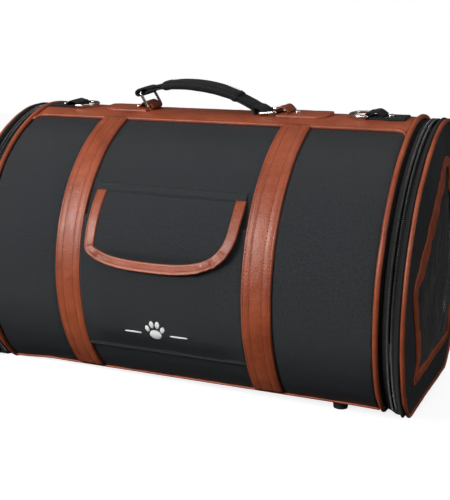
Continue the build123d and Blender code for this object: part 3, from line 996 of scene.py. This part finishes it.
def rounded(points, radii, step):
    """A closed outline with rounded corners, as (y, z) points."""
    result = []
    count = len(points)
    for i in range(count):
        here = Vector((*points[i], 0))
        before = (Vector((*points[i - 1], 0)) - here).normalized()
        after = (Vector((*points[(i + 1) % count], 0)) - here).normalized()
        half = before.angle(after) / 2
        reach = radii[i] / tan(half)
        start = here + before * reach
        end = here + after * reach
        centre = here + (before + after).normalized() * (radii[i] / sin(half))
        first = start - centre
        turn = first.to_2d().angle_signed(Vector((end - centre).to_2d()))
        corner = []
        for t in spread(0.0, 1.0, max(0.05, step / max(abs(turn) * radii[i], 1e-6))):
            corner.append(centre + Matrix.Rotation(-turn * t, 3, "Z") @ first)
        if result:
            last = Vector((*result[-1], 0))
            for t in spread(0.0, 1.0, step / max((corner[0] - last).length, step))[1:-1]:
                point = last.lerp(corner[0], t)
                result.append((point.x, point.y))
        result += [(point.x, point.y) for point in corner]
    last = Vector((*result[-1], 0))
    first = Vector((*result[0], 0))
    for t in spread(0.0, 1.0, step / max((first - last).length, step))[1:-1]:
        point = last.lerp(first, t)
        result.append((point.x, point.y))
    return result


window_outline = rounded(window_points, window_corners, 3.0)
eye_z = 118.0


def ray_reach(outline_points, angle):
    """How far a ray from the door's middle goes before it meets an outline."""
    direction = (cos(angle), sin(angle))
    best = 0.0
    count = len(outline_points)
    for i in range(count):
        ay, az = outline_points[i][0], outline_points[i][1] - eye_z
        by, bz = outline_points[(i + 1) % count][0], outline_points[(i + 1) % count][1] - eye_z
        ey, ez = by - ay, bz - az
        across = direction[0] * ez - direction[1] * ey
        if abs(across) < 1e-9:
            continue
        distance = (ay * ez - az * ey) / across
        share = (ay * direction[1] - az * direction[0]) / across
        if distance > 0 and -1e-6 <= share <= 1 + 1e-6:
            best = max(best, distance)
    return best


door_outline = [on_section(0, s, 0.4, door_drop)[1:] for s in spread(0, around, 3.0)[:-1]]
window_turn_under = 4.5
door_angles = [2 * pi * i / 240 for i in range(240)]
window_reach = [ray_reach(window_outline, angle) for angle in door_angles]
outer_reach = [ray_reach(door_outline, angle) for angle in door_angles]


def door_bulge(y, z):
    """How far the door's cloth stands out from its plane."""
    angle = atan2(z - eye_z, y) % (2 * pi)
    index = int(angle / (2 * pi) * 240) % 240
    inside = 1 - hypot(y, z - eye_z) / max(outer_reach[index], 1.0)
    full = 3.0 * fade(inside, 0.0, 0.5)
    return full + (0.9 * wobble(y, z, 26, 15.5) + 0.5 * wobble(y, z, 11, 18.2)) * fade(inside, 0.0, 0.1)


for side, name in ((-1, "left"), (1, "right")):
    door = f"door_{name}"

    def door_point(y, z, lift):
        return (side * (door_x + door_bulge(y, z) + lift), y, z)

    rings = []
    for angle, near, far in zip(door_angles, window_reach, outer_reach):
        near -= window_turn_under
        outer = []
        inner = []
        for share in spread(0.0, 1.0, 0.07):
            reach = near + (far - near) * share
            y = reach * cos(angle)
            z = eye_z + reach * sin(angle)
            outer.append(door_point(y, z, 0.2 if share < 0.99 else -0.6))
            inner.append(door_point(y, z, -1.4))
        ring = outer + inner[::-1]
        rings.append(ring[::-1] if side == 1 else ring)
    panel = loft(f"door_cloth_{name}", rings, nylon, door, loop=True)
    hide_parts(f"door_panel_{name}")

    rings = []
    run = 0.0
    count = len(window_outline)
    for i in range(count):
        y, z = window_outline[i]
        before = window_outline[i - 1]
        after = window_outline[(i + 1) % count]
        run += hypot(y - before[0], z - before[1])
        length = hypot(after[0] - before[0], after[1] - before[1])
        in_y = -(after[1] - before[1]) / length
        in_z = (after[0] - before[0]) / length
        upper_slope = fade(z, 120, 150) * (1 - fade(z, 215, 228))
        side_part = fade(z, 36, 60) * (1 - fade(z, 215, 228))
        scallop = 3.0 + 4.5 * abs(sin(run / 8.0))
        width = 10.5 + 1.1 * wobble(run, 0, 13, 51) + 3.0 * side_part + upper_slope * scallop
        pucker = 0.75 * wobble(run, 0, 4.2, 52) + 0.8 * wobble(run, 0, 12, 53)
        ring = []
        for share, lift in binding_profile:
            at_y = y + in_y * width * share
            at_z = z + in_z * width * share
            bump = pucker * sin(pi * share) if lift > 0 else 0.0
            ring.append(door_point(at_y, at_z, lift + bump))
        rings.append(ring if side == 1 else ring[::-1])
    binding = loft(f"window_trim_{name}", rings, leather, door, loop=True)
    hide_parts(f"window_binding_{name}")

    vertices = []
    faces = []
    strand = 0.26
    net_pitch = 2.5
    for slant in (radians(58), radians(-58)):
        dir_y, dir_z = cos(slant), sin(slant)
        across_y, across_z = -dir_z, dir_y
        for n in range(-70, 71):
            hits = []
            for i in range(count):
                a = window_outline[i]
                b = window_outline[(i + 1) % count]
                da = a[0] * across_y + (a[1] - eye_z) * across_z - n * net_pitch
                db = b[0] * across_y + (b[1] - eye_z) * across_z - n * net_pitch
                if (da < 0) != (db < 0):
                    t = da / (da - db)
                    y = a[0] + (b[0] - a[0]) * t
                    z = a[1] + (b[1] - a[1]) * t
                    hits.append((y * dir_y + (z - eye_z) * dir_z))
            hits.sort()
            for low, high in zip(hits[::2], hits[1::2]):
                base = len(vertices)
                steps = spread(low, high, 7.0)
                for along in steps:
                    y = across_y * n * net_pitch + dir_y * along
                    z = eye_z + across_z * n * net_pitch + dir_z * along
                    lift = -0.6 + (0.15 if slant > 0 else -0.15)
                    for turn in range(4):
                        angle = pi / 4 + turn * pi / 2
                        sway = strand * cos(angle) * 1.4
                        vertices.append(door_point(
                            y + across_y * sway, z + across_z * sway, lift + strand * sin(angle)))
                faces += tube_faces(base, 4, len(steps) - 1, capped=False)
    net = add_object(f"window_net_{name}", vertices, faces, net_thread, door, None)
    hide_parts(f"window_mesh_{name}")


# ---------------------------------------------------------------- top hardware

lean_angle = asin(-strip_y / crown_radius)
crown_z = body_height - crown_radius


def lean(x, y, z):
    """A point built along the top of the crown, turned forward to where the strip is sewn."""
    up = z - crown_z
    turned_y = y * cos(lean_angle) - up * sin(lean_angle)
    return (x, turned_y, crown_z + y * sin(lean_angle) + up * cos(lean_angle))


def crown_point(x, across, offset):
    """A point on the crown, across the strip from the middle of the hardware."""
    angle = across / crown_radius
    return lean(x, (crown_radius + offset) * sin(angle), crown_z + (crown_radius + offset) * cos(angle))


tab_shares = (
    -1, -0.985, -0.94, -0.87, -0.8, -0.72, -0.5, -0.25, 0, 0.25, 0.5, 0.72, 0.8, 0.87, 0.94, 0.985, 1)
strip_outline = (
    (-1, -0.5), (-1.02, 0), (-1, 0.5), (-0.96, 0.9), (-0.85, 1.0), (-0.5, 1.02), (0, 1.05), (0.5, 1.02),
    (0.85, 1.0), (0.96, 0.9), (1, 0.5), (1.02, 0), (1, -0.5), (0.96, -0.9), (0.5, -1), (0, -1), (-0.5, -1),
    (-0.96, -0.9))


def tab(name, loop_x, direction, length, half, thickness, corner, material, slot, rim, seed):
    """A flat strip sewn on the top strip: rounded outer corners and a raised, stitched rim."""
    rings = []
    lines = ([], [])
    for along in [0.0, 0.6] + spread(2, length - corner, 2.5) + spread(length - corner, length, 0.9)[1:]:
        into = max(0.0, along - (length - corner)) / corner
        reach = half - corner * (1 - sqrt(max(0.0, 1 - into ** 2))) * 0.96
        outer = []
        inner = []
        for share in tab_shares:
            across = reach * share
            from_edge = min(reach - abs(across), (length - along) * 1.1)
            height = thickness * sqrt(max(0.0, 1 - max(0.0, 1 - (from_edge + 0.05) / 1.0) ** 2))
            height += rim * (1 - fade(abs(from_edge - 1.7), 0.2, 1.5))
            height += 0.3 * wobble(along, across, 9, seed)
            outer.append(crown_point(loop_x + direction * along, across, 1.4 + max(height, 0.1)))
            inner.append(crown_point(loop_x + direction * along, across, 0.4))
        ring = outer + inner[::-1]
        rings.append(ring if direction > 0 else ring[::-1])
        if 3 < along < length - 4:
            for line, sign in zip(lines, (-1, 1)):
                row = min(reach, half) - 4.2
                place_on = crown_point(loop_x + direction * along, sign * row, 1.4 + thickness + 0.05)
                line.append((place_on, (0, place_on[1], place_on[2] - crown_z)))
    piece = loft(name, rings, material, "root")
    thread = tan_thread if slot == "tan_leather" else black_thread
    stitches(name + "_stitches", lines, thread, "root", length=2.2, space=1.0, radius=0.32)
    return piece


def strip_along(name, path, half, thickness, material, body, to_body, seed):
    """A flat strip that follows a line of (along, up) points, drawn out across."""
    rings = []
    for i, (along, up) in enumerate(path):
        before = path[max(i - 1, 0)]
        after = path[min(i + 1, len(path) - 1)]
        length = hypot(after[0] - before[0], after[1] - before[1])
        normal = (-(after[1] - before[1]) / length, (after[0] - before[0]) / length)
        ring = []
        for across, level in strip_outline:
            lift = level * thickness / 2 + 0.08 * wobble(i * 2.0, across * 8, 5, seed)
            ring.append(to_body(along + normal[0] * lift, across * half, up + normal[1] * lift))
        rings.append(ring)
    return loft(name, rings, material, body)


def loop_path(centre, start, end, radius, hump=0.0):
    """A line that comes in from start over a hump, goes round centre on its far side, and leaves to end."""
    turns = [(centre[0] - radius * sin(t), centre[1] + radius * cos(t)) for t in spread(0, pi, 0.22)]
    lead = []
    for t in spread(0, 1, 0.08)[:-1]:
        lead.append((
            start[0] + (turns[0][0] - start[0]) * t,
            start[1] + (turns[0][1] - start[1]) * t + hump * sin(pi * t ** 0.9) ** 1.5))
    tail = [(turns[-1][0] + (end[0] - turns[-1][0]) * t, turns[-1][1] + (end[1] - turns[-1][1]) * t)
            for t in spread(0, 1, 0.12)[1:]]
    return lead + turns + tail


for side, name in ((-1, "left"), (1, "right")):
    loop_x = sewn_x + side * loop_half_spacing
    piece = tab(
        f"leather_tab_{name}", loop_x + side * 1.5, side, tab_length - 1.5, tab_half_width, 1.9, 14.5,
        leather, "tan_leather", 0.75, 61 + side)
    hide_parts(f"handle_tab_{name}")

    def across_top(along, across, up, loop_x=loop_x, side=side):
        return lean(loop_x + side * along, across * side, up)

    path = loop_path((0.0, loop_height), (13.5, 274.0), (12.0, 272.6), 2.85, 3.6)
    strip_along(
        f"ring_loop_{name}", path, 11.2, 1.7, leather, "root", across_top, 71 + side)

    d_x = sewn_x + side * d_loop_half_spacing
    piece = tab(
        f"webbing_tab_{name}", d_x + side * 1.5, side, 35.5, 12.5, 1.6, 2.0,
        web_cloth, "black_webbing", 0.2, 81 + side)
    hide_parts(f"d_ring_tab_{name}")

    def across_d(along, across, up, d_x=d_x, side=side):
        return lean(d_x + side * along, across * side, up)

    path = loop_path((0.0, d_loop_height), (15.0, 273.4), (11.0, 272.0), 2.75, 2.8)
    strip_along(
        f"d_ring_loop_{name}", path, 11.0, 1.5, web_cloth, "root", across_d, 91 + side)


def ring_tip(pivot_x, angle):
    """Centre of a handle ring's far bar at rest."""
    return pivot_x + ring_length * cos(radians(angle)), loop_height + ring_length * sin(radians(angle))


left_tip = ring_tip(sewn_x - loop_half_spacing, left_ring_angle)
right_tip = ring_tip(sewn_x + loop_half_spacing, right_ring_angle)
chord = gap(left_tip, right_tip)
tilt = atan2(right_tip[1] - left_tip[1], right_tip[0] - left_tip[0])
bend_radius = (chord ** 2 / 4 + handle_rise ** 2) / (2 * handle_rise)


def on_handle(along, across, up):
    """A point of the handle: along the chord between its bars, across it, and above its arc."""
    angle = asin((along - chord / 2) / bend_radius)
    flat_x = chord / 2 + (bend_radius + up) * sin(angle)
    flat_z = handle_rise - bend_radius + (bend_radius + up) * cos(angle)
    return lean(
        left_tip[0] + flat_x * cos(tilt) - flat_z * sin(tilt), across,
        left_tip[1] + flat_x * sin(tilt) + flat_z * cos(tilt))


grip_rings = []
for along in spread(grip_ends[0] - 1.0, grip_ends[1] + 1.0, 1.2):
    middle = (along - grip_ends[0]) / (grip_ends[1] - grip_ends[0])
    from_end = min(along - grip_ends[0], grip_ends[1] - along) + 1.0
    taper = sqrt(max(0.02, 1 - max(0.0, 1 - from_end / 2.2) ** 2))
    cuff = 0.55 * (1 - fade(abs(from_end - 4.5), 1.0, 3.0))
    half = (12.2 + 0.9 * sin(pi * min(max(middle, 0), 1)) + cuff) * (0.75 + 0.25 * taper)
    thick = (4.4 + 1.0 * sin(pi * min(max(middle, 0), 1)) + cuff) * taper
    ring = []
    for i in range(28):
        angle = 2 * pi * i / 28
        c, sn = cos(angle), sin(angle)
        across = half * (abs(c) ** 0.62) * (1 if c >= 0 else -1)
        up = thick * (abs(sn) ** 0.78) * (1 if sn >= 0 else -1)
        dent = 1 + 0.035 * wobble(along, i * 4.0, 8, 95)
        ring.append(on_handle(along, across * dent, up * dent + 0.3))
    grip_rings.append(ring)
grip = loft("grip_wrap", grip_rings[::-1], web_cloth, "handle")
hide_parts("handle_grip")
grip_lines = []
for across in (-9.0, 9.0):
    line = []
    for along in spread(grip_ends[0] + 3, grip_ends[1] - 3, 3.2):
        line.append((on_handle(along, across, 4.9), (0, 0, 1)))
    grip_lines.append(line)
stitches("grip_stitches", grip_lines, black_thread, "handle", length=2.2, radius=0.3)


def folded_end(hang):
    """The webbing's two layers, which part round the ring's bar and fold over beyond it."""
    def half_gap(along):
        return 1.45 + 1.6 * (1 - fade(abs(along), 2.5, 8.0))
    fold = -4.2
    upper = [(along, half_gap(along)) for along in spread(27, fold, 1.5)]
    lower = []
    for along, up in reversed(upper):
        lower.append((along, -up - hang * (1 - fade(abs(along), 2, 9))))
    drop = (upper[-1][1] + lower[0][1]) / 2
    reach = (upper[-1][1] - lower[0][1]) / 2
    end = [(fold - reach * sin(t), drop + reach * cos(t)) for t in spread(0, pi, 0.3)[1:-1]]
    return upper + end + lower


webbing_piece = strip_along(
    "handle_web_left", folded_end(0.0), 11.0, 2.7, web_cloth, "handle", on_handle, 97)
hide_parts("handle_webbing")
web_right = [(chord - along, up) for along, up in reversed(folded_end(2.4))]
strip_along(
    "handle_web_right", web_right, 11.0, 2.7, web_cloth, "handle", on_handle, 99)


# ---------------------------------------------------------------- pad inside

def make_pad():
    """The comfort pad: a thin block filled by cloth simulation, then quilted across."""
    low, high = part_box("comfort_pad")
    low_point = Vector(low) * 1000
    high_point = Vector(high) * 1000
    centre = (low_point + high_point) / 2
    half = (high_point - low_point) / 2
    rings = []
    inset = 4.0
    for t in spread(0, pi, pi / 10):
        shrink = 1 - 0.05 * (1 - sin(t))
        level = -cos(t) * (half.z - inset)
        ring = []
        for i in range(96):
            angle = 2 * pi * i / 96
            c, sn = cos(angle), sin(angle)
            x = (half.x - inset) * shrink * (abs(c) ** 0.22) * (1 if c >= 0 else -1)
            y = (half.y - inset) * shrink * (abs(sn) ** 0.22) * (1 if sn >= 0 else -1)
            ring.append((centre.x + x, centre.y - middle_y + y, centre.z - foot_height + level))
        rings.append(ring)
    pad = loft("soft_pad", rings, fleece, None)
    bpy.context.view_layer.objects.active = pad
    remesh = pad.modifiers.new("remesh", "REMESH")
    remesh.mode = "VOXEL"
    remesh.voxel_size = 0.006
    graph = bpy.context.evaluated_depsgraph_get()
    mesh = bpy.data.meshes.new_from_object(pad.evaluated_get(graph))
    pad.modifiers.clear()
    pad.data = mesh
    rest = [vertex.co.copy() for vertex in mesh.vertices]
    cloth = pad.modifiers.new("cloth", "CLOTH")
    cloth.settings.use_pressure = True
    cloth.settings.uniform_pressure_force = 4.0
    cloth.settings.effector_weights.gravity = 0.0
    for step in range(1, 21):
        bpy.context.scene.frame_set(step)
    graph = bpy.context.evaluated_depsgraph_get()
    filled = bpy.data.meshes.new_from_object(pad.evaluated_get(graph))
    pad.modifiers.clear()
    pad.data = filled
    bpy.context.scene.frame_set(1)
    most = 0.004
    floor = low.z
    for vertex, before in zip(pad.data.vertices, rest):
        move = vertex.co - before
        if move.length > most:
            vertex.co = before + move * (most / move.length)
        channel = 0.0
        for k in range(-2, 3):
            channel = max(channel, 1 - fade(abs(vertex.co.x - k * 0.081), 0.0, 0.012))
        if vertex.co.z > (low.z + high.z) / 2:
            vertex.co.z -= 0.0045 * channel
        vertex.co.z = max(vertex.co.z, floor)
    pad.data.materials.clear()
    pad.data.materials.append(fleece)
    for polygon in pad.data.polygons:
        polygon.use_smooth = True
    smooth = pad.modifiers.new("smooth", "SUBSURF")
    smooth.levels = 1
    smooth.render_levels = 1
    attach(pad, "root")
    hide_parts("comfort_pad")


make_pad()


# ---------------------------------------------------------------- carried-over parts

finishes = {
    "handle_ring_left": nickel, "handle_ring_right": nickel, "d_ring_left": nickel, "d_ring_right": nickel,
    "slider_left": nickel, "slider_right": nickel, "pull_left": nickel, "pull_right": nickel,
    "handle_rivets": nickel, "d_ring_rivets": nickel, "foot_screws": steel, "feet": rubber,
    "wire_hoop_left": steel, "wire_hoop_right": steel, "base_board": board,
}
for node_name, finish in finishes.items():
    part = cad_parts[node_name]
    part.data.materials.clear()
    part.data.materials.append(finish)


# ---------------------------------------------------------------- soft pieces, listed with their sizes in a table

panel_width = panel_x[-1] - panel_x[0]
door_width = max(y for y, z in door_outline) - min(y for y, z in door_outline)
door_height = max(z for y, z in door_outline) - min(z for y, z in door_outline)
door_area = sum(
    (far ** 2 - (near - window_turn_under) ** 2) * pi / len(door_angles)
    for near, far in zip(window_reach, outer_reach))
cloth_sheets = (
    ("shell_front", panel_width, strip_front - front_low, "stretched", None),
    ("shell_back", panel_width, back_low - strip_back, "stretched", None),
    ("shell_bottom", panel_width, around + front_low - back_low, "stretched", None),
    ("pocket_cloth", pocket_right - pocket_left, pocket_s_high - pocket_s_low, "stretched", None),
    ("flap_cloth", 2 * (flap_half - flap_border),
     front_at_height(flap_high) - front_at_height(flap_low + flap_border), "hung", None),
    ("door_cloth_left", door_width, door_height, "stretched", door_area / 1e6),
    ("door_cloth_right", door_width, door_height, "stretched", door_area / 1e6),
)


# ---------------------------------------------------------------- floor, light and camera

def stage_floor():
    """A pale, glowing floor that the bag stands on and that does not light it."""
    mesh = bpy.data.meshes.new("floor")
    reach = 6.0
    mesh.from_pydata(
        [(-reach, -reach, 0), (reach, -reach, 0), (reach, reach, 0), (-reach, reach, 0)], [], [(0, 1, 2, 3)])
    floor = bpy.data.objects.new("floor", mesh)
    bpy.context.scene.collection.objects.link(floor)
    floor.visible_diffuse = False
    floor.visible_glossy = False
    material, _, shader = new_material("pale_floor", 0.9)
    shader.inputs["Base Color"].default_value = (0.40, 0.40, 0.40, 1)
    shader.inputs["Emission Color"].default_value = (1, 1, 1, 1)
    shader.inputs["Emission Strength"].default_value = 0.82
    mesh.materials.append(material)


def area_light(name, position, target, size, power):
    """A rectangular lamp aimed at a target."""
    lamp = bpy.data.lights.new(name, "AREA")
    lamp.shape = "RECTANGLE"
    lamp.size = size[0]
    lamp.size_y = size[1]
    lamp.energy = power
    holder = bpy.data.objects.new(name, lamp)
    holder.location = position
    holder.rotation_euler = (Vector(target) - Vector(position)).to_track_quat("-Z", "Y").to_euler()
    bpy.context.scene.collection.objects.link(holder)


stage_floor()
area_light("key", (-1.15, -1.95, 0.95), (0, 0, 0.14), (1.0, 0.8), 66)
area_light("top", (0.1, -0.3, 2.3), (0, 0, 0.2), (1.2, 0.9), 6)
area_light("right", (2.0, -0.5, 0.9), (0.2, 0, 0.15), (0.9, 1.2), 9)
world = bpy.data.worlds.new("studio")
world.use_nodes = True
world_tree = world.node_tree
seen = node(world_tree, "ShaderNodeBackground", Color=(1, 1, 1, 1), Strength=1.0)
lit = world_tree.nodes["Background"]
lit.inputs["Color"].default_value = (1, 1, 1, 1)
direction = node(world_tree, "ShaderNodeTexCoord").outputs["Generated"]
height = node(world_tree, "ShaderNodeSeparateXYZ", Vector=direction)
brightness = node(world_tree, "ShaderNodeMapRange", Value=height.outputs["Z"])
for limit, value in (("From Min", -0.3), ("From Max", 0.8), ("To Min", 0.06), ("To Max", 0.40)):
    brightness.inputs[limit].default_value = value
ray = node(world_tree, "ShaderNodeLightPath")
dimming = node(world_tree, "ShaderNodeMapRange", Value=ray.outputs["Is Glossy Ray"])
dimming.inputs["To Min"].default_value = 1.0
dimming.inputs["To Max"].default_value = 0.3
strength = node(world_tree, "ShaderNodeMath")
strength.operation = "MULTIPLY"
world_tree.links.new(brightness.outputs["Result"], strength.inputs[0])
world_tree.links.new(dimming.outputs["Result"], strength.inputs[1])
world_tree.links.new(strength.outputs[0], lit.inputs["Strength"])
choice = node(world_tree, "ShaderNodeMixShader")
world_tree.links.new(ray.outputs["Is Camera Ray"], choice.inputs[0])
world_tree.links.new(lit.outputs[0], choice.inputs[1])
world_tree.links.new(seen.outputs[0], choice.inputs[2])
world_tree.links.new(choice.outputs[0], world_tree.nodes["World Output"].inputs["Surface"])
bpy.context.scene.world = world
bpy.context.scene.view_settings.view_transform = "Standard"

azimuth = radians(24.3993)
elevation = radians(10.6408)
roll = radians(1.5617)
right = Vector((cos(azimuth), sin(azimuth), 0))
forward = Vector((-sin(azimuth) * cos(elevation), cos(azimuth) * cos(elevation), -sin(elevation)))
up = Vector((-sin(azimuth) * sin(elevation), cos(azimuth) * sin(elevation), cos(elevation)))
camera_right = right * cos(roll) + up * sin(roll)
camera_up = up * cos(roll) - right * sin(roll)
camera_data = bpy.data.cameras.new("camera")
camera_data.sensor_fit = "AUTO"
camera_data.sensor_width = 36.0
camera_data.lens = 862.85 / 500 * 36.0
camera = bpy.data.objects.new("camera", camera_data)
matrix = Matrix((camera_right, camera_up, -forward)).transposed().to_4x4()
matrix.translation = Vector((0.39044, -0.84854, 0.30619))
camera.matrix_world = matrix
bpy.context.scene.collection.objects.link(camera)
bpy.context.scene.camera = camera
